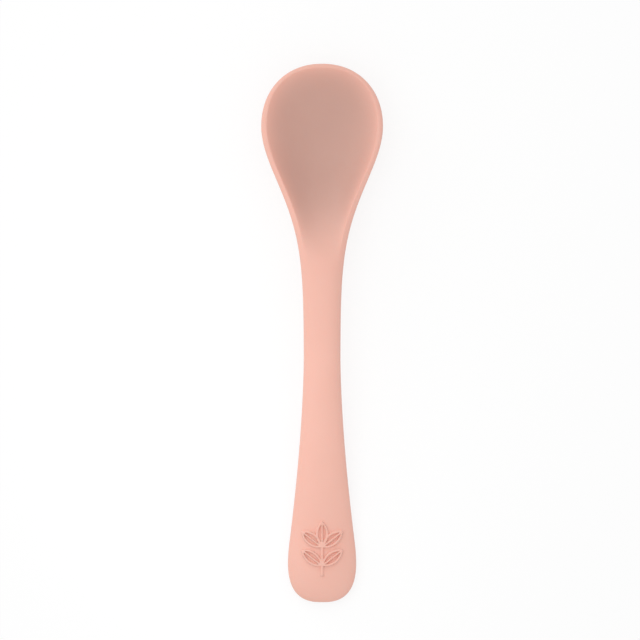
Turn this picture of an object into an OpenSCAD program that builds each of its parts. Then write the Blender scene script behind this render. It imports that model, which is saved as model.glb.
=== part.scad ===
// Baby spoon: a stiff core sealed between two silicone mouldings.
// The spoon lies on its back on the plane z = 0, with its bowl's tip towards +Y and its hollow facing +Z.
// The origin is on that plane, under the middle of the spoon's length and width.

/* [Length] */
// Length from the handle's end to the bowl's tip
spoon_length = 140; // [134:1:150]

/* [Bowl] */
// Width across the bowl at its widest place
bowl_width = 31.6; // [29:0.2:34]
// Distance from the tip back to the widest place
bowl_widest = 16.4; // [14:0.2:18]
// Distance behind the widest place in which half of the extra width is gone
shoulder_half = 17.5; // [16:0.5:20]
// Depth of the hollow below the top of the rim
bowl_depth = 7.8; // [7:0.1:8.6]
// Silicone under the deepest part of the hollow
bowl_wall = 2.2; // [2:0.1:2.8]
// Distance from the tip to where the floor starts to rise
ramp_top = 24; // [22:0.5:28]
// Distance from the tip to where the floor has risen to the neck
ramp_foot = 54; // [50:0.5:56]

/* [Rim] */
// Width of the rim along the bowl's sides, seen from above
rim_width = 1.4; // [1.2:0.1:1.6]
// Width of the rim at the tip, seen from above
rim_tip_width = 1.05; // [0.9:0.05:1.6]
// Height of the rim's top above the parting line
rim_height = 0.8; // [0.6:0.1:1]
// Depth of the rim's outer side below the parting line
rim_skirt = 0.9; // [0.7:0.1:1.2]
// Width over which the rim's outer edge is rounded
rim_round = 1; // [0.8:0.1:1.2]

/* [Handle] */
// Width of the neck at its narrowest place
neck_width = 9.5; // [9:0.1:11]
// Distance from the tip to the narrowest place
neck_from_tip = 76; // [72:1:80]
// Width that the flaring handle would reach if its end were not rounded
flare_width = 21.4; // [19:0.2:23]
// Length over which the outline of the handle's end is rounded
end_round = 17; // [15:0.5:19]
// Length over which the thickness runs out at the handle's end
end_thinning = 12; // [10:0.5:14]
// Height of the front above the parting line
crown_height = 2.7; // [2.5:0.1:3.2]
// Depth of the back below the parting line
belly_height = 2.7; // [2.5:0.1:3.2]
// Height of the parting line above the table at the neck
neck_height = 9.5; // [8:0.1:10.5]
// Length of the handle's end that lies level on the table
level_length = 14; // [10:0.5:18]

/* [Rest pads] */
// How much of the bowl's underside is cut off flat
bowl_pad_cut = 0.4; // [0.3:0.05:0.6]
// How much of the handle's back is cut off flat
grip_pad_cut = 0.25; // [0.15:0.05:0.4]

/* [Core] */
// Thickness of the stiff core
core_thickness = 2; // [1.6:0.1:2.2]
// Silicone beside the core
core_cover = 2.4; // [2.2:0.1:2.6]
// Distance from the handle's end to the core
core_from_end = 9; // [8:0.5:12]
// Distance from the bowl's tip to the core
core_from_tip = 48; // [46:0.5:52]
// Diameter of the holes that key the silicone to the core
key_diameter = 2.2; // [1.8:0.1:2.4]
// Number of key holes
key_count = 6; // [4:1:7]
// Distance from each end of the core to the nearest key hole's centre
key_margin = 5; // [4.5:0.5:7]

/* [Relief] */
// Height of the leaf sprig above the handle's face
relief_height = 0.7; // [0.4:0.05:0.8]
// Distance from the handle's end to the foot of the sprig
sprig_from_end = 7.2; // [6.6:0.2:8.8]
// Length of one leaf
leaf_length = 6.8; // [6:0.2:7]
// Width of one leaf
leaf_width = 3.2; // [2.8:0.1:3.4]
// Width of the raised line round each leaf
leaf_bead = 0.6; // [0.5:0.05:0.7]
// Width of the raised rib along each leaf's middle
leaf_rib = 0.5; // [0.4:0.05:0.6]
// Number of leaf pairs
leaf_pairs = 2; // [2:1:3]
// Distance along the stem from one pair to the next
leaf_pitch = 4.8; // [4.6:0.1:5.2]
// Angle of the side leaves to the stem
leaf_angle = 52; // [48:1:58]
// Width of the stem
stem_width = 0.9; // [0.7:0.05:1]
// Length of the stem below the first pair
stem_foot = 2.4; // [1.8:0.1:2.6]

/* [Hidden] */

// Fullness of each rounded line: 2 is an ellipse, and more is squarer.
round_fullness = 2;
bowl_fullness = 2.15;
hollow_fullness = 2.3;
end_fullness = 2.6;
crown_fullness = 2.2;
belly_fullness = 3;
rim_fullness = 2;
thinning_fullness = 2;
// How fast the shoulders leave the bowl, and how fast the handle flares.
shoulder_power = 1.85;
flare_power = 1.63;
// Softness of the rim's inner edge, as a share of the hollow's depth.
rim_softness_share = 0.03;

// Rows along the spoon and columns across it.
tip_rows = 14;
shoulder_rows = 32;
flare_rows = 18;
end_rows = 12;
skin_columns = 32;
parting_columns = 12;
core_rows = 28;
relief_rows = 18;
relief_columns = 14;

// How far cutting tools run past what they cut, and how deep the relief is rooted in the handle.
overrun = 1;
relief_root = 0.8;
$fn = 48;

y_tip = spoon_length / 2;
y_end = -spoon_length / 2;
y_widest = y_tip - bowl_widest;
y_ramp_top = y_tip - ramp_top;
y_ramp_foot = y_tip - ramp_foot;
y_neck = y_tip - neck_from_tip;
y_round = y_end + end_round;
y_level = y_end + level_length;
y_core_end = y_end + core_from_end;
y_core_tip = y_tip - core_from_tip;
y_sprig = y_end + sprig_from_end;

bowl_edge_height = bowl_wall + bowl_depth - rim_height;
grip_edge_height = belly_height - grip_pad_cut;
lining_depth = bowl_edge_height - bowl_wall / 2;
dish_depth = bowl_edge_height - rim_skirt + bowl_pad_cut;
core_nose = half_width(y_core_tip) - core_cover;
core_tail = half_width(y_round) - core_cover;
sprig_length = stem_foot + (leaf_pairs - 1) * leaf_pitch + leaf_length;
sprig_half_width = leaf_length * sin(leaf_angle) + leaf_width / 2;

function mix(a, b, t) = a + (b - a) * t;
function smooth(t) = let (c = max(0, min(1, t))) c * c * (3 - 2 * c);
function quarter_round(d, fullness) = pow(max(0, 1 - pow(max(0, d), fullness)), 1 / fullness);

// Outline, seen from above
function shoulder(y) =
    mix(neck_width, bowl_width, pow(0.5, pow(max(0, y_widest - y) / shoulder_half, shoulder_power))) / 2;
function flare(y) =
    (flare_width - neck_width) / 2 * pow(max(0, y_neck - y) / (y_neck - y_end), flare_power);
function half_width(y) =
    (shoulder(y) + flare(y))
    * quarter_round((y - y_widest) / bowl_widest, bowl_fullness)
    * quarter_round((y_round - y) / end_round, end_fullness);

// Share of the way from the middle line to the outline, which is 1 all round the edge
function reach(y, x) =
    y > y_widest
    ? pow(pow((y - y_widest) / bowl_widest, bowl_fullness)
          + pow(2 * abs(x) / bowl_width, bowl_fullness), 1 / bowl_fullness)
    : abs(x) / half_width(y);

// Share of the bowl's shape in the section at y: 0 in the neck and handle, and 1 in the bowl
function bowl_share(y) = smooth((y - y_ramp_foot) / (y_ramp_top - y_ramp_foot));
// Share of the full thickness, which runs out at the handle's end
function end_share(y) = quarter_round((y_end + end_thinning - y) / end_thinning, thinning_fullness);

// Height of the parting line that runs round the edge
function edge_height(y) =
    y < y_neck
    ? mix(grip_edge_height, neck_height, smooth((y - y_level) / (y_neck - y_level)))
    : mix(neck_height, bowl_edge_height, smooth((y - y_neck) / (y_ramp_top - y_neck)));

// Rounded rise from the edge: over the whole half width in the handle, and over the rim alone in the bowl
function edge_rise(y, x, fullness) =
    let (
        span = y > y_widest ? bowl_width / 2 : half_width(y),
        width = mix(span, rim_round, bowl_share(y)),
        inset = min(1, (1 - reach(y, x)) * span / width)
    )
    quarter_round(1 - inset, mix(fullness, rim_fullness, bowl_share(y)));

// Hollow of the bowl: 1 over its deepest part, 0 at the rim's inner edge and negative outside it
function hollow(y, x) =
    y > y_widest
    ? 1 - pow((y - y_widest) / (bowl_widest - rim_tip_width), hollow_fullness)
        - pow(abs(x) / (bowl_width / 2 - rim_width), hollow_fullness)
    : 1 - pow(abs(x) / (half_width(y) - rim_width), hollow_fullness);
function softened(v) =
    let (s = rim_softness_share)
    v < -s ? 0 : v > s ? v : (v + s) * (v + s) / (4 * s);
function dip(y, x) =
    let (share = bowl_share(y))
    share == 0 ? 0 : bowl_depth * share * softened(hollow(y, x));

// The three surfaces of the spoon
face_z = function (y, x)
    edge_height(y)
    + mix(crown_height, rim_height, bowl_share(y)) * end_share(y) * edge_rise(y, x, crown_fullness)
    - dip(y, x);
parting_z = function (y, x)
    edge_height(y) - lining_depth * bowl_share(y) * (1 - pow(reach(y, x), bowl_fullness));
back_z = function (y, x)
    edge_height(y)
    - mix(belly_height, rim_skirt, bowl_share(y)) * end_share(y) * edge_rise(y, x, belly_fullness)
    - dish_depth * bowl_share(y) * (1 - pow(reach(y, x), bowl_fullness));

// Rows from the handle's end to the tip, without the two end points
row_places = [
    for (i = [1:end_rows]) y_round - end_round * cos(90 * i / end_rows),
    for (i = [1:flare_rows]) mix(y_round, y_neck, i / flare_rows),
    for (i = [1:shoulder_rows]) mix(y_neck, y_widest, i / shoulder_rows),
    for (i = [1:tip_rows - 1]) y_widest + bowl_widest * sin(90 * i / tip_rows),
];
function column_share(j, columns) = sin(180 * j / columns - 90);

// Closed layer between two of the surfaces, which meet along the parting line
module layer(upper_z, lower_z, upper_columns, lower_columns) {
    loop = [
        for (j = [0:upper_columns]) [column_share(j, upper_columns), true],
        for (j = [lower_columns - 1:-1:1]) [column_share(j, lower_columns), false],
    ];
    count = len(loop);
    rows = len(row_places);
    ring_points = [
        for (y = row_places, p = loop)
            let (x = half_width(y) * p[0])
            [x, y, abs(p[0]) == 1 ? edge_height(y) : p[1] ? upper_z(y, x) : lower_z(y, x)]
    ];
    first_point = rows * count;
    end_points = [[0, y_end, edge_height(y_end)], [0, y_tip, edge_height(y_tip)]];
    sides = [
        for (i = [0:rows - 2], j = [0:count - 1])
            let (
                k = (j + 1) % count,
                a = i * count + j,
                b = i * count + k,
                c = a + count,
                d = b + count
            )
            each abs(loop[j][0]) < abs(loop[k][0])
                 ? [[a, d, b], [a, c, d]]
                 : [[a, c, b], [b, c, d]]
    ];
    ends = [
        for (j = [0:count - 1])
            let (k = (j + 1) % count, last = (rows - 1) * count)
            each [[first_point, j, k], [first_point + 1, last + k, last + j]]
    ];
    polyhedron(points = concat(ring_points, end_points), faces = concat(sides, ends));
}

// One pointed leaf: the overlap of two discs
module leaf_outline() {
    bend = (leaf_length * leaf_length + leaf_width * leaf_width) / (4 * leaf_width);
    translate([0, leaf_length / 2])
        intersection_for (side = [-1, 1])
            translate([side * (bend - leaf_width / 2), 0])
                circle(r = bend, $fn = 96);
}

// Raised lines of one leaf: one round it and a rib along its middle
module leaf_lines() {
    difference() {
        leaf_outline();
        difference() {
            offset(delta = -leaf_bead)
                leaf_outline();
            translate([-leaf_rib / 2, 0])
                square([leaf_rib, leaf_length]);
        }
    }
}

module sprig_outline() {
    translate([-stem_width / 2, 0])
        square([stem_width, sprig_length - leaf_length]);
    translate([0, sprig_length - leaf_length])
        leaf_lines();
    for (i = [0:leaf_pairs - 1], side = [-1, 1])
        translate([0, stem_foot + i * leaf_pitch])
            rotate(side * leaf_angle)
                leaf_lines();
}

// Slab that follows the handle's face, from under it to the relief's height above it
module relief_slab() {
    half = sprig_half_width + overrun;
    y_low = y_sprig - overrun;
    y_high = y_sprig + sprig_length + overrun;
    across = relief_columns + 1;
    sheet_size = (relief_rows + 1) * across;
    points = [
        for (height = [relief_height, -relief_root], i = [0:relief_rows], j = [0:relief_columns])
            let (
                y = mix(y_low, y_high, i / relief_rows),
                x = mix(-half, half, j / relief_columns),
                limit = half_width(y)
            )
            [x, y, face_z(y, max(-limit, min(limit, x))) + height]
    ];
    tops = [
        for (i = [0:relief_rows - 1], j = [0:relief_columns - 1])
            let (a = i * across + j, b = a + 1, c = a + across, d = c + 1)
            each [[a, c, b], [b, c, d]]
    ];
    undersides = [for (f = tops) [f[0] + sheet_size, f[2] + sheet_size, f[1] + sheet_size]];
    border = [
        for (j = [0:relief_columns - 1]) j,
        for (i = [0:relief_rows - 1]) i * across + relief_columns,
        for (j = [relief_columns:-1:1]) relief_rows * across + j,
        for (i = [relief_rows:-1:1]) i * across,
    ];
    walls = [
        for (k = [0:len(border) - 1])
            let (a = border[k], b = border[(k + 1) % len(border)])
            each [[a, b, b + sheet_size], [a, b + sheet_size, a + sheet_size]]
    ];
    polyhedron(points = points, faces = concat(tops, undersides, walls));
}

// Leaf sprig in relief on the handle's end
module relief() {
    intersection() {
        relief_slab();
        translate([0, y_sprig, 0])
            linear_extrude(2 * (crown_height + belly_height) + relief_height)
                sprig_outline();
    }
}

// Stiff core with its key holes
function core_half_width(y) =
    (half_width(y) - core_cover)
    * quarter_round(1 - (y_core_tip - y) / core_nose, round_fullness)
    * quarter_round(1 - (y - y_core_end) / core_tail, round_fullness);

core_places = [for (i = [0:core_rows]) mix(y_core_end, y_core_tip, (1 - cos(180 * i / core_rows)) / 2)];

module core_outline() {
    polygon([
        for (y = core_places) [core_half_width(y), y],
        for (i = [core_rows - 1:-1:1]) [-core_half_width(core_places[i]), core_places[i]],
    ]);
}

module core_profile() {
    polygon([
        for (y = core_places) [y, edge_height(y) - core_thickness / 2],
        for (i = [core_rows:-1:0]) [core_places[i], edge_height(core_places[i]) + core_thickness / 2],
    ]);
}

module stiff_plate() {
    height = neck_height + core_thickness;
    difference() {
        intersection() {
            linear_extrude(height)
                core_outline();
            rotate([90, 0, 90])
                linear_extrude(flare_width, center = true)
                    core_profile();
        }
        for (i = [0:key_count - 1]) {
            y = mix(y_core_end + key_margin, y_core_tip - key_margin, i / (key_count - 1));
            translate([0, y, -overrun])
                cylinder(d = key_diameter, h = height + 2 * overrun);
        }
    }
}

module silicone_front() {
    color([0.95, 0.74, 0.68])
        difference() {
            union() {
                layer(face_z, parting_z, skin_columns, parting_columns);
                relief();
            }
            stiff_plate();
        }
}

module silicone_back() {
    color([0.93, 0.71, 0.65])
        difference() {
            layer(parting_z, back_z, parting_columns, skin_columns);
            stiff_plate();
            // Flats on which the bowl and the handle's end rest
            translate([-bowl_width, -spoon_length, -bowl_depth])
                cube([2 * bowl_width, 2 * spoon_length, bowl_depth]);
        }
}

module stiffening_core() {
    color([0.9, 0.88, 0.82])
        stiff_plate();
}

silicone_front();
silicone_back();
stiffening_core();
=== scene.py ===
"""Baby spoon: two satin silicone mouldings round a hidden stiff core, seen from straight above.

Lengths are in millimetres until a mesh, lamp or camera is made, and MM turns them into metres.
"""
import math

import bmesh
import bpy
import numpy as np
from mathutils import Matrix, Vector


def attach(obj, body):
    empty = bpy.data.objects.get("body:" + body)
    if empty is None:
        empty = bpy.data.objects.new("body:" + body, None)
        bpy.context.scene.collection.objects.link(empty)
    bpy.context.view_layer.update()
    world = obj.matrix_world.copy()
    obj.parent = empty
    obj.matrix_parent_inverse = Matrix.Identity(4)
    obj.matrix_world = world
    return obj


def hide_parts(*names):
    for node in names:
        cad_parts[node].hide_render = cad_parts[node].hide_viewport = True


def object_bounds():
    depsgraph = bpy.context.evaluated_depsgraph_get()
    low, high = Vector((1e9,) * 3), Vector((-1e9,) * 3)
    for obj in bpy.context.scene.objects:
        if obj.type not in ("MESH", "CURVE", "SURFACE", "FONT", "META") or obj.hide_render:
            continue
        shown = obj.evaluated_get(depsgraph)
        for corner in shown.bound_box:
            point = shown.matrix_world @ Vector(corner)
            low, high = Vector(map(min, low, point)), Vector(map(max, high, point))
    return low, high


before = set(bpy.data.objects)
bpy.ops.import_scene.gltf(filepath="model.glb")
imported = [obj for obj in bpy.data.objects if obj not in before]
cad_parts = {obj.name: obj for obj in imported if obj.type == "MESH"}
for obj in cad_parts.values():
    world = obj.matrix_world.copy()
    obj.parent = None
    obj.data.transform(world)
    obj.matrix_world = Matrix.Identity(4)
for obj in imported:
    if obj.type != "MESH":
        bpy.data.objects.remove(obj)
cad_low, cad_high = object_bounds()

MM = 0.001

# Sizes of the whole spoon, from the frame
SPOON_LENGTH = (cad_high.y - cad_low.y) / MM
BOWL_WIDTH = (cad_high.x - cad_low.x) / MM

# Bowl and rim
BOWL_WIDEST = 16.4
SHOULDER_HALF = 17.5
BOWL_DEPTH = 7.8
BOWL_WALL = 2.2
RAMP_TOP = 24
RAMP_FOOT = 54
RIM_WIDTH = 1.4
RIM_TIP_WIDTH = 1.05
RIM_HEIGHT = 0.8
RIM_SKIRT = 0.9
RIM_ROUND = 1

# Handle
NECK_WIDTH = 9.5
NECK_FROM_TIP = 76
FLARE_WIDTH = 21.4
END_ROUND = 17
END_THINNING = 12
CROWN_HEIGHT = 2.7
BELLY_HEIGHT = 2.7
NECK_HEIGHT = 9.5
LEVEL_LENGTH = 14

# Flats on which the spoon rests
BOWL_PAD_CUT = 0.4
GRIP_PAD_CUT = 0.25

# Fullness of each rounded line: 2 is an ellipse, and more is squarer
BOWL_FULLNESS = 2.15
HOLLOW_FULLNESS = 2.3
END_FULLNESS = 2.6
CROWN_FULLNESS = 2.2
BELLY_FULLNESS = 3
RIM_FULLNESS = 2
THINNING_FULLNESS = 2
STEM_FULLNESS = 2

# How sharply the width swells into the bowl and towards the handle's end
SHOULDER_POWER = 1.85
FLARE_POWER = 1.63

# Share of the hollow's depth over which its edge turns softly into the rim
RIM_SOFTNESS_SHARE = 0.03

# Leaf sprig in relief
RELIEF_HEIGHT = 0.7
SPRIG_FROM_END = 7.2
LEAF_LENGTH = 6.8
LEAF_WIDTH = 3.2
LEAF_PAIRS = 2
LEAF_PITCH = 4.8
LEAF_ANGLE = math.radians(52)
STEM_WIDTH = 0.9
STEM_FOOT = 2.4
RELIEF_EDGE = 0.16
LEAF_BEAD = 0.6
LEAF_RIB = 0.5

# Mesh: columns across the spoon and rows along it
SKIN_COLUMNS = 184
PARTING_COLUMNS = 24
END_ROWS = 36
TIP_ROWS = 44
BODY_STEP = 0.6
SPRIG_STEP = 0.11
SPRIG_MARGIN = 0.6
WELD_DISTANCE = 0.0001

# Witness line where the two mouldings meet
SEAM_DEPTH = 0.04

# How quickly the hollow's painted shade, a deeper tone, starts, inwards from the rim and onwards
# from the neck
PAINTED_SHADE_ACROSS_POWER = 2.5
PAINTED_SHADE_ALONG_POWER = 2

# Places along the spoon
Y_TIP = SPOON_LENGTH / 2
Y_END = -SPOON_LENGTH / 2
Y_WIDEST = Y_TIP - BOWL_WIDEST
Y_RAMP_TOP = Y_TIP - RAMP_TOP
Y_RAMP_FOOT = Y_TIP - RAMP_FOOT
Y_NECK = Y_TIP - NECK_FROM_TIP
Y_ROUND = Y_END + END_ROUND
Y_LEVEL = Y_END + LEVEL_LENGTH
Y_SPRIG = Y_END + SPRIG_FROM_END

# Sizes worked out from the others
BOWL_EDGE_HEIGHT = BOWL_WALL + BOWL_DEPTH - RIM_HEIGHT
GRIP_EDGE_HEIGHT = BELLY_HEIGHT - GRIP_PAD_CUT
LINING_DEPTH = BOWL_EDGE_HEIGHT - BOWL_WALL / 2
DISH_DEPTH = BOWL_EDGE_HEIGHT - RIM_SKIRT + BOWL_PAD_CUT
SPRIG_LENGTH = STEM_FOOT + (LEAF_PAIRS - 1) * LEAF_PITCH + LEAF_LENGTH


def mix(a, b, t):
    return a + (b - a) * t


def smooth(t):
    c = np.clip(t, 0, 1)
    return c * c * (3 - 2 * c)


def quarter_round(d, fullness):
    return np.maximum(0, 1 - np.maximum(0, d) ** fullness) ** (1 / fullness)


def half_width(y):
    """Half the spoon's width, seen from above."""
    behind_widest = np.maximum(0, Y_WIDEST - y) / SHOULDER_HALF
    shoulder = mix(NECK_WIDTH, BOWL_WIDTH, 0.5 ** (behind_widest ** SHOULDER_POWER)) / 2
    behind_neck = np.maximum(0, Y_NECK - y) / (Y_NECK - Y_END)
    flare = (FLARE_WIDTH - NECK_WIDTH) / 2 * behind_neck ** FLARE_POWER
    tip = quarter_round((y - Y_WIDEST) / BOWL_WIDEST, BOWL_FULLNESS)
    end = quarter_round((Y_ROUND - y) / END_ROUND, END_FULLNESS)
    return (shoulder + flare) * tip * end


def reach(y, x):
    """Share of the way from the middle line to the outline, 1 all round the edge."""
    ahead = np.maximum(0, y - Y_WIDEST) / BOWL_WIDEST
    aside = np.abs(2 * x / BOWL_WIDTH)
    in_tip = (ahead ** BOWL_FULLNESS + aside ** BOWL_FULLNESS) ** (1 / BOWL_FULLNESS)
    return np.minimum(1, np.where(y > Y_WIDEST, in_tip, np.abs(x) / half_width(y)))


def bowl_share(y):
    """0 in the neck and handle, and 1 in the bowl."""
    return smooth((y - Y_RAMP_FOOT) / (Y_RAMP_TOP - Y_RAMP_FOOT))


def end_share(y):
    """Share of the full thickness, which runs out at the handle's end."""
    return quarter_round((Y_END + END_THINNING - y) / END_THINNING, THINNING_FULLNESS)


def edge_height(y):
    """Height of the parting line that runs round the edge."""
    handle = mix(GRIP_EDGE_HEIGHT, NECK_HEIGHT, smooth((y - Y_LEVEL) / (Y_NECK - Y_LEVEL)))
    bowl = mix(NECK_HEIGHT, BOWL_EDGE_HEIGHT, smooth((y - Y_NECK) / (Y_RAMP_TOP - Y_NECK)))
    return np.where(y < Y_NECK, handle, bowl)


def edge_rise(y, x, fullness):
    """Rounded rise from the edge: over the half width in the handle, over the rim in the bowl."""
    span = np.where(y > Y_WIDEST, BOWL_WIDTH / 2, half_width(y))
    width = mix(span, RIM_ROUND, bowl_share(y))
    inset = np.minimum(1, (1 - reach(y, x)) * span / width)
    return quarter_round(1 - inset, mix(fullness, RIM_FULLNESS, bowl_share(y)))


def hollow(y, x):
    """Share of the hollow's depth: 0 on the rim and outwards, and 1 where it is deepest."""
    inner_half = np.where(y > Y_WIDEST, BOWL_WIDTH / 2, half_width(y)) - RIM_WIDTH
    inner_half = np.maximum(inner_half, RIM_WIDTH)
    ahead = np.maximum(0, y - Y_WIDEST) / (BOWL_WIDEST - RIM_TIP_WIDTH)
    share = 1 - ahead ** HOLLOW_FULLNESS - np.abs(x / inner_half) ** HOLLOW_FULLNESS
    soft = RIM_SOFTNESS_SHARE
    at_edge = (share + soft) ** 2 / (4 * soft)
    return np.where(share < -soft, 0, np.where(share > soft, share, at_edge))


def dip(y, x):
    """Depth of the bowl's hollow below the rim's top."""
    return BOWL_DEPTH * bowl_share(y) * hollow(y, x)


def relief_step(distance):
    """Soft step of the relief's edges, from 0 to 1 where the distance passes 0."""
    return smooth(distance / RELIEF_EDGE + 0.5)


def leaf_height(u, v):
    """Height of one leaf, u along it and v across it: a raised line round it and a middle rib."""
    bend = (LEAF_LENGTH ** 2 + LEAF_WIDTH ** 2) / (4 * LEAF_WIDTH)
    along = u - LEAF_LENGTH / 2
    arc = np.sqrt(np.maximum(0, bend ** 2 - along ** 2))
    inset = arc - (bend - LEAF_WIDTH / 2) - np.abs(v)
    wall = relief_step(inset)
    field = relief_step(inset - LEAF_BEAD)
    off_rib = relief_step(np.abs(v) - LEAF_RIB / 2)
    return RELIEF_HEIGHT * wall * (1 - field * off_rib)


def sprig_height(y, x):
    """Height of the leaf sprig above the handle's face."""
    up = y - Y_SPRIG
    stem_end = SPRIG_LENGTH - LEAF_LENGTH
    past_stem = np.maximum(0, np.maximum(-up, up - stem_end))
    off_stem = np.hypot(x, past_stem)
    height = RELIEF_HEIGHT * quarter_round(off_stem / (STEM_WIDTH / 2), STEM_FULLNESS)
    height = np.maximum(height, leaf_height(up - stem_end, x))
    for pair in range(LEAF_PAIRS):
        foot = STEM_FOOT + pair * LEAF_PITCH
        for side in (-1, 1):
            along = np.array((side * math.sin(LEAF_ANGLE), math.cos(LEAF_ANGLE)))
            u = x * along[0] + (up - foot) * along[1]
            v = x * along[1] - (up - foot) * along[0]
            height = np.maximum(height, leaf_height(u, v))
    return height


def face_z(y, x):
    """Front of the spoon."""
    crown = mix(CROWN_HEIGHT, RIM_HEIGHT, bowl_share(y)) * end_share(y)
    rise = crown * edge_rise(y, x, CROWN_FULLNESS)
    return edge_height(y) + rise - dip(y, x) + sprig_height(y, x)


def parting_z(y, x):
    """Where the two mouldings meet inside the spoon."""
    return edge_height(y) - LINING_DEPTH * bowl_share(y) * (1 - reach(y, x) ** BOWL_FULLNESS)


def back_z(y, x):
    """Back of the spoon, with its two flats on the table."""
    belly = mix(BELLY_HEIGHT, RIM_SKIRT, bowl_share(y)) * end_share(y)
    dish = DISH_DEPTH * bowl_share(y) * (1 - reach(y, x) ** BOWL_FULLNESS)
    return np.maximum(0, edge_height(y) - belly * edge_rise(y, x, BELLY_FULLNESS) - dish)


def row_places():
    """Rows from the handle's end to the tip, without the two end points."""
    sprig_low = Y_SPRIG - SPRIG_MARGIN
    sprig_high = Y_SPRIG + SPRIG_LENGTH + SPRIG_MARGIN
    turn = np.linspace(0, math.pi / 2, END_ROWS + 1)[1:]
    end = sprig_low - (sprig_low - Y_END) * np.cos(turn)
    sprig = np.arange(sprig_low, sprig_high, SPRIG_STEP)[1:]
    body = np.linspace(sprig_high, Y_WIDEST, round((Y_WIDEST - sprig_high) / BODY_STEP))
    turn = np.linspace(0, math.pi / 2, TIP_ROWS + 1)[1:-1]
    tip = Y_WIDEST + BOWL_WIDEST * np.sin(turn)
    return np.concatenate([end, sprig, body, tip])


def column_shares(columns):
    """Places across the spoon from -1 to 1, closer together towards the edge."""
    return np.sin(np.linspace(-math.pi / 2, math.pi / 2, columns + 1))


def layer(name, upper_z, lower_z, upper_columns, lower_columns):
    """Closed mesh between two of the surfaces, which meet along the parting line.

    Its faces look outwards.
    """
    rows = row_places()
    upper = column_shares(upper_columns)
    lower = column_shares(lower_columns)[-2:0:-1]
    shares = np.concatenate([upper, lower])
    count = len(shares)
    y = np.repeat(rows[:, None], count, axis=1)
    x = half_width(y) * shares
    z = np.empty_like(x)
    z[:, :len(upper)] = upper_z(y, x)[:, :len(upper)]
    z[:, len(upper):] = lower_z(y, x)[:, len(upper):]
    for edge in (0, len(upper) - 1):
        z[:, edge] = edge_height(rows)
        x[:, edge] -= SEAM_DEPTH * np.sign(shares[edge])
    points = np.stack([x, y, z], axis=-1).reshape(-1, 3)
    ends = [[0, Y_END, float(edge_height(Y_END))], [0, Y_TIP, float(edge_height(Y_TIP))]]
    points = np.vstack([points, ends]) * MM
    faces = []
    for i in range(len(rows) - 1):
        here, ahead = i * count, (i + 1) * count
        for j in range(count):
            k = (j + 1) % count
            faces.append((here + j, here + k, ahead + k, ahead + j))
    first, last = len(points) - 2, len(points) - 1
    top_row = (len(rows) - 1) * count
    for j in range(count):
        k = (j + 1) % count
        faces.append((first, k, j))
        faces.append((last, top_row + j, top_row + k))
    mesh = bpy.data.meshes.new(name)
    mesh.from_pydata(points.tolist(), [], faces)
    mesh.update()
    piece = bpy.data.objects.new(name, mesh)
    bpy.context.scene.collection.objects.link(piece)
    return piece


def weld(mesh):
    """Joins points that lie in one place."""
    work = bmesh.new()
    work.from_mesh(mesh)
    bmesh.ops.remove_doubles(work, verts=work.verts, dist=WELD_DISTANCE * MM)
    work.to_mesh(mesh)
    work.free()


def core_cutter():
    """Welded copy of the core, used only to cut its pocket into the mouldings."""
    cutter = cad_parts["stiffening_core"].copy()
    cutter.data = cutter.data.copy()
    cutter.name = "core_cutter"
    bpy.context.scene.collection.objects.link(cutter)
    weld(cutter.data)
    return cutter


def cut_pocket(piece, cutter):
    """Cuts the core's pocket, which leaves half of each keying post on the piece."""
    cut = piece.modifiers.new("pocket", "BOOLEAN")
    cut.operation = "DIFFERENCE"
    cut.object = cutter
    cut.solver = "MANIFOLD"
    graph = bpy.context.evaluated_depsgraph_get()
    piece.data = bpy.data.meshes.new_from_object(piece.evaluated_get(graph))
    piece.modifiers.clear()
    weld(piece.data)
    piece.data.shade_smooth()


def mark_painted_hollow_shade(piece):
    """Marks each point by how far it is in the bowl's hollow, 0 on the rim and 1 over the floor, as
    the share of the hollow's painted shade.
    """
    places = np.empty(len(piece.data.vertices) * 3)
    piece.data.vertices.foreach_get("co", places)
    x, y, _ = places.reshape(-1, 3).T / MM
    across = 1 - (1 - hollow(y, x)) ** PAINTED_SHADE_ACROSS_POWER
    along = 1 - (1 - bowl_share(y)) ** PAINTED_SHADE_ALONG_POWER
    # The hollow attribute carries the share of painted shade that darkens the bowl's hollow
    shade_marks = piece.data.attributes.new("hollow", "FLOAT", "POINT")
    shade_marks.data.foreach_set("value", across * along)


def make_silicone():
    """Front and back mouldings, each with its half of the core's pocket."""
    front = layer("silicone_front_skin", face_z, parting_z, SKIN_COLUMNS, PARTING_COLUMNS)
    back = layer("silicone_back_skin", parting_z, back_z, PARTING_COLUMNS, SKIN_COLUMNS)
    cutter = core_cutter()
    for piece in (front, back):
        cut_pocket(piece, cutter)
    bpy.data.objects.remove(cutter)
    # Only the front moulding gets the hollow's painted shade
    mark_painted_hollow_shade(front)
    return front, back


# Linear colours
PEACH = (0.845, 0.476, 0.39, 1)
PEACH_DEEP = (0.825, 0.459, 0.373, 1)
# Painted shade: a darker, greyer tone multiplied into the colour in the bowl's hollow
HOLLOW_PAINTED_SHADE = (0.718, 0.781, 0.797, 1)
NYLON = (0.74, 0.70, 0.60, 1)
NYLON_DARK = (0.66, 0.61, 0.50, 1)
PAPER = (0.9, 0.9, 0.9, 1)
WHITE = (1, 1, 1, 1)

# Noises: size of their features, detail, and roughness of the noise itself
CLOUDS = (14, 3, 0.5)
PATCHES = (5, 4, 0.6)
GRAIN = (0.16, 2, 0.5)
SWELL = (2.4, 2, 0.4)
STREAKS = (0.8, 4, 0.6)

# Values of a noise that ramp() takes to its low and high ends
NOISE_LOW = 0.3
NOISE_HIGH = 0.7

# Depths of the bumps
GRAIN_DEPTH = 0.006
SWELL_DEPTH = 0.02
STREAK_DEPTH = 0.03

# Gloss of the silicone, and the light that passes under its surface
SILICONE_ROUGHNESS = (0.5, 0.6)
SILICONE_IOR = 1.41
SHEEN_WEIGHT = 0.06
SHEEN_ROUGHNESS = 0.6
SUBSURFACE_WEIGHT = 0.12
SUBSURFACE_RADIUS = (1, 0.45, 0.3)
SUBSURFACE_SCALE = 0.6

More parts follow.
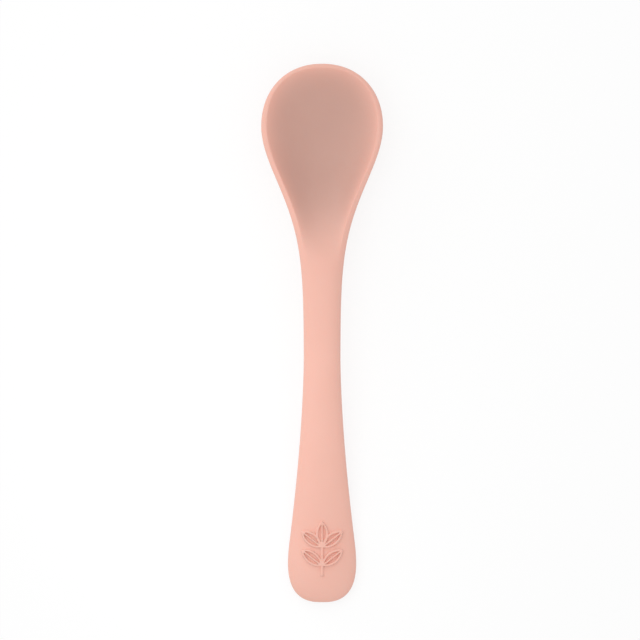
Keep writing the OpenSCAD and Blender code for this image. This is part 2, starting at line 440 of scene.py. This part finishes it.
# Gloss of the nylon, and how its streaks are drawn out along the strip
NYLON_ROUGHNESS = (0.5, 0.68)
NYLON_IOR = 1.53
STREAK_STRETCH = (1, 0.15, 1)


def new_material(name):
    material = bpy.data.materials.new(name)
    material.use_nodes = True
    return material, material.node_tree.nodes, material.node_tree.links


def noise(nodes, links, coords, feature_mm, detail, roughness):
    """Noise whose features are about feature_mm across."""
    texture = nodes.new("ShaderNodeTexNoise")
    texture.inputs["Scale"].default_value = 1 / (feature_mm * MM)
    texture.inputs["Detail"].default_value = detail
    texture.inputs["Roughness"].default_value = roughness
    links.new(coords, texture.inputs["Vector"])
    return texture.outputs["Fac"]


def ramp(nodes, links, value, low, high):
    """Maps a noise onto the range from low to high."""
    scale = nodes.new("ShaderNodeMapRange")
    scale.inputs["From Min"].default_value = NOISE_LOW
    scale.inputs["From Max"].default_value = NOISE_HIGH
    scale.inputs["To Min"].default_value = low
    scale.inputs["To Max"].default_value = high
    links.new(value, scale.inputs["Value"])
    return scale.outputs["Result"]


def two_colours(nodes, links, share, first, second):
    """Colour that goes from the first to the second as a noise rises."""
    colour = nodes.new("ShaderNodeMix")
    colour.data_type = "RGBA"
    links.new(ramp(nodes, links, share, 0, 1), colour.inputs["Factor"])
    colour.inputs["A"].default_value = first
    colour.inputs["B"].default_value = second
    return colour.outputs["Result"]


def bump(nodes, links, height, depth_mm, normal=None):
    """Normal of a surface that a noise raises by up to depth_mm."""
    node = nodes.new("ShaderNodeBump")
    node.inputs["Strength"].default_value = 1
    node.inputs["Distance"].default_value = depth_mm * MM
    links.new(height, node.inputs["Height"])
    if normal is not None:
        links.new(normal, node.inputs["Normal"])
    return node.outputs["Normal"]


def silicone():
    """Satin silicone: peach pink, slightly cloudy, with painted shade that makes the hollow darker
    and greyer, and fine mould grain.
    """
    material, nodes, links = new_material("satin_silicone")
    shader = nodes["Principled BSDF"]
    coords = nodes.new("ShaderNodeTexCoord").outputs["Object"]
    clouds = noise(nodes, links, coords, *CLOUDS)
    colour = two_colours(nodes, links, clouds, PEACH, PEACH_DEEP)
    # Painted shade: the colour is multiplied by a darker, greyer tone where the hollow attribute
    # marks the bowl's hollow
    shade_attribute = nodes.new("ShaderNodeAttribute")
    shade_attribute.attribute_name = "hollow"
    painted_shade = nodes.new("ShaderNodeMix")
    painted_shade.data_type = "RGBA"
    painted_shade.blend_type = "MULTIPLY"
    links.new(shade_attribute.outputs["Fac"], painted_shade.inputs["Factor"])
    links.new(colour, painted_shade.inputs["A"])
    painted_shade.inputs["B"].default_value = HOLLOW_PAINTED_SHADE
    links.new(painted_shade.outputs["Result"], shader.inputs["Base Color"])
    patches = noise(nodes, links, coords, *PATCHES)
    links.new(ramp(nodes, links, patches, *SILICONE_ROUGHNESS), shader.inputs["Roughness"])
    grain = noise(nodes, links, coords, *GRAIN)
    swell = noise(nodes, links, coords, *SWELL)
    fine = bump(nodes, links, grain, GRAIN_DEPTH)
    links.new(bump(nodes, links, swell, SWELL_DEPTH, fine), shader.inputs["Normal"])
    shader.inputs["IOR"].default_value = SILICONE_IOR
    shader.inputs["Subsurface Weight"].default_value = SUBSURFACE_WEIGHT
    shader.inputs["Subsurface Radius"].default_value = SUBSURFACE_RADIUS
    shader.inputs["Subsurface Scale"].default_value = SUBSURFACE_SCALE * MM
    shader.inputs["Sheen Weight"].default_value = SHEEN_WEIGHT
    shader.inputs["Sheen Roughness"].default_value = SHEEN_ROUGHNESS
    return material


def nylon():
    """Glass-filled nylon: off-white, with flow streaks along the strip."""
    material, nodes, links = new_material("filled_nylon")
    shader = nodes["Principled BSDF"]
    stretch = nodes.new("ShaderNodeMapping")
    stretch.inputs["Scale"].default_value = STREAK_STRETCH
    links.new(nodes.new("ShaderNodeTexCoord").outputs["Object"], stretch.inputs["Vector"])
    streaks = noise(nodes, links, stretch.outputs["Vector"], *STREAKS)
    colour = two_colours(nodes, links, streaks, NYLON, NYLON_DARK)
    links.new(colour, shader.inputs["Base Color"])
    links.new(ramp(nodes, links, streaks, *NYLON_ROUGHNESS), shader.inputs["Roughness"])
    links.new(bump(nodes, links, streaks, STREAK_DEPTH), shader.inputs["Normal"])
    shader.inputs["IOR"].default_value = NYLON_IOR
    return material


# Floor and world
FLOOR_HALF = 1500
FLOOR_DROP = 0.02
FLOOR_SHADOW_SHARE = 0.2
FLOOR_GLOW = 1.025
WORLD_LEVEL = 0.825


def background_ray(nodes, links):
    """1 for a ray that shows the background: from the camera, or sent on by gloss or glass."""
    path = nodes.new("ShaderNodeLightPath")
    seen = path.outputs["Is Camera Ray"]
    for kind in ("Is Glossy Ray", "Is Transmission Ray"):
        either = nodes.new("ShaderNodeMath")
        either.operation = "MAXIMUM"
        links.new(seen, either.inputs[0])
        links.new(path.outputs[kind], either.inputs[1])
        seen = either.outputs["Value"]
    return seen


def floor_material():
    """White floor: a background ray sees plain white with a share of the object's shadow."""
    material, nodes, links = new_material("white_floor")
    nodes.remove(nodes["Principled BSDF"])
    paper = nodes.new("ShaderNodeBsdfDiffuse")
    paper.inputs["Color"].default_value = PAPER
    glow = nodes.new("ShaderNodeEmission")
    glow.inputs["Color"].default_value = WHITE
    glow.inputs["Strength"].default_value = FLOOR_GLOW
    seen = nodes.new("ShaderNodeMixShader")
    seen.inputs["Fac"].default_value = FLOOR_SHADOW_SHARE
    links.new(glow.outputs["Emission"], seen.inputs[1])
    links.new(paper.outputs["BSDF"], seen.inputs[2])
    pick = nodes.new("ShaderNodeMixShader")
    links.new(background_ray(nodes, links), pick.inputs["Fac"])
    links.new(paper.outputs["BSDF"], pick.inputs[1])
    links.new(seen.outputs["Shader"], pick.inputs[2])
    links.new(pick.outputs["Shader"], nodes["Material Output"].inputs["Surface"])
    return material


def make_floor():
    sides = [(-1, -1), (1, -1), (1, 1), (-1, 1)]
    half, height = FLOOR_HALF * MM, -FLOOR_DROP * MM
    mesh = bpy.data.meshes.new("floor")
    mesh.from_pydata([(x * half, y * half, height) for x, y in sides], [], [(0, 1, 2, 3)])
    floor = bpy.data.objects.new("floor", mesh)
    bpy.context.scene.collection.objects.link(floor)
    mesh.materials.append(floor_material())


def make_world():
    """Plain fill light, and white where the camera looks past the floor."""
    world = bpy.data.worlds.new("studio")
    world.use_nodes = True
    bpy.context.scene.world = world
    nodes, links = world.node_tree.nodes, world.node_tree.links
    sky = nodes["Background"]
    level = nodes.new("ShaderNodeMix")
    links.new(background_ray(nodes, links), level.inputs["Factor"])
    level.inputs["A"].default_value = WORLD_LEVEL
    level.inputs["B"].default_value = 1
    sky.inputs["Color"].default_value = WHITE
    links.new(level.outputs["Result"], sky.inputs["Strength"])


def softbox(name, azimuth, elevation, distance_mm, width_mm, height_mm, power, aim_mm):
    """Area lamp aimed at a point on the table. Azimuth 0 is the handle's side, 90 the right."""
    turn, lift = math.radians(azimuth), math.radians(elevation)
    level = math.cos(lift)
    away = Vector((math.sin(turn) * level, -math.cos(turn) * level, math.sin(lift)))
    data = bpy.data.lights.new(name, "AREA")
    data.shape = "RECTANGLE"
    data.size = width_mm * MM
    data.size_y = height_mm * MM
    data.energy = power
    lamp = bpy.data.objects.new(name, data)
    lamp.location = (Vector(aim_mm) + away * distance_mm) * MM
    lamp.rotation_euler = away.to_track_quat("Z", "Y").to_euler()
    lamp.visible_camera = False
    bpy.context.scene.collection.objects.link(lamp)


def make_lights():
    """Two small lamps above the left of the handle and bowl, and a weak one low at upper left."""
    softbox("grip_key", azimuth=0, elevation=89.9, distance_mm=70, width_mm=50, height_mm=60,
            power=0.0114, aim_mm=(-27, -43, 0))
    softbox("bowl_key", azimuth=0, elevation=89.9, distance_mm=110, width_mm=90, height_mm=80,
            power=0.0185, aim_mm=(-34, 48, 0))
    softbox("left_fill", azimuth=225, elevation=18, distance_mm=500, width_mm=300, height_mm=100,
            power=0.312, aim_mm=(0, 0, 0))


# Camera: the photograph looks straight down, with the tip at the top. Its scale is that of
# the spoon's outline, at EDGE_LEVEL_MM above the table
PHOTO_WIDTH_PX = 640
SPOON_LENGTH_PX = 538.6
SPOON_MIDDLE_PX = (322.1, 333.6)
LENS_MM = 300
EDGE_LEVEL_MM = 6
CLIP_END_M = 10


def make_camera():
    px_mm = SPOON_LENGTH / SPOON_LENGTH_PX
    data = bpy.data.cameras.new("camera")
    data.lens = LENS_MM
    data.clip_end = CLIP_END_M
    distance = PHOTO_WIDTH_PX * px_mm * LENS_MM / data.sensor_width
    half = PHOTO_WIDTH_PX / 2
    camera = bpy.data.objects.new("camera", data)
    camera.location = Vector((
        (half - SPOON_MIDDLE_PX[0]) * px_mm,
        (SPOON_MIDDLE_PX[1] - half) * px_mm,
        distance + EDGE_LEVEL_MM,
    )) * MM
    bpy.context.scene.collection.objects.link(camera)
    bpy.context.scene.camera = camera


def dress():
    """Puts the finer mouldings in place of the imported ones, and gives every piece its material."""
    front, back = make_silicone()
    skin = silicone()
    for piece, node in ((front, "silicone_front"), (back, "silicone_back")):
        piece.data.materials.clear()
        piece.data.materials.append(skin)
        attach(piece, "root")
        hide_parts(node)
    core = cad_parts["stiffening_core"]
    core.data.materials.clear()
    core.data.materials.append(nylon())


bpy.context.scene.view_settings.view_transform = "Standard"
make_camera()
make_world()
make_lights()
make_floor()
dress()
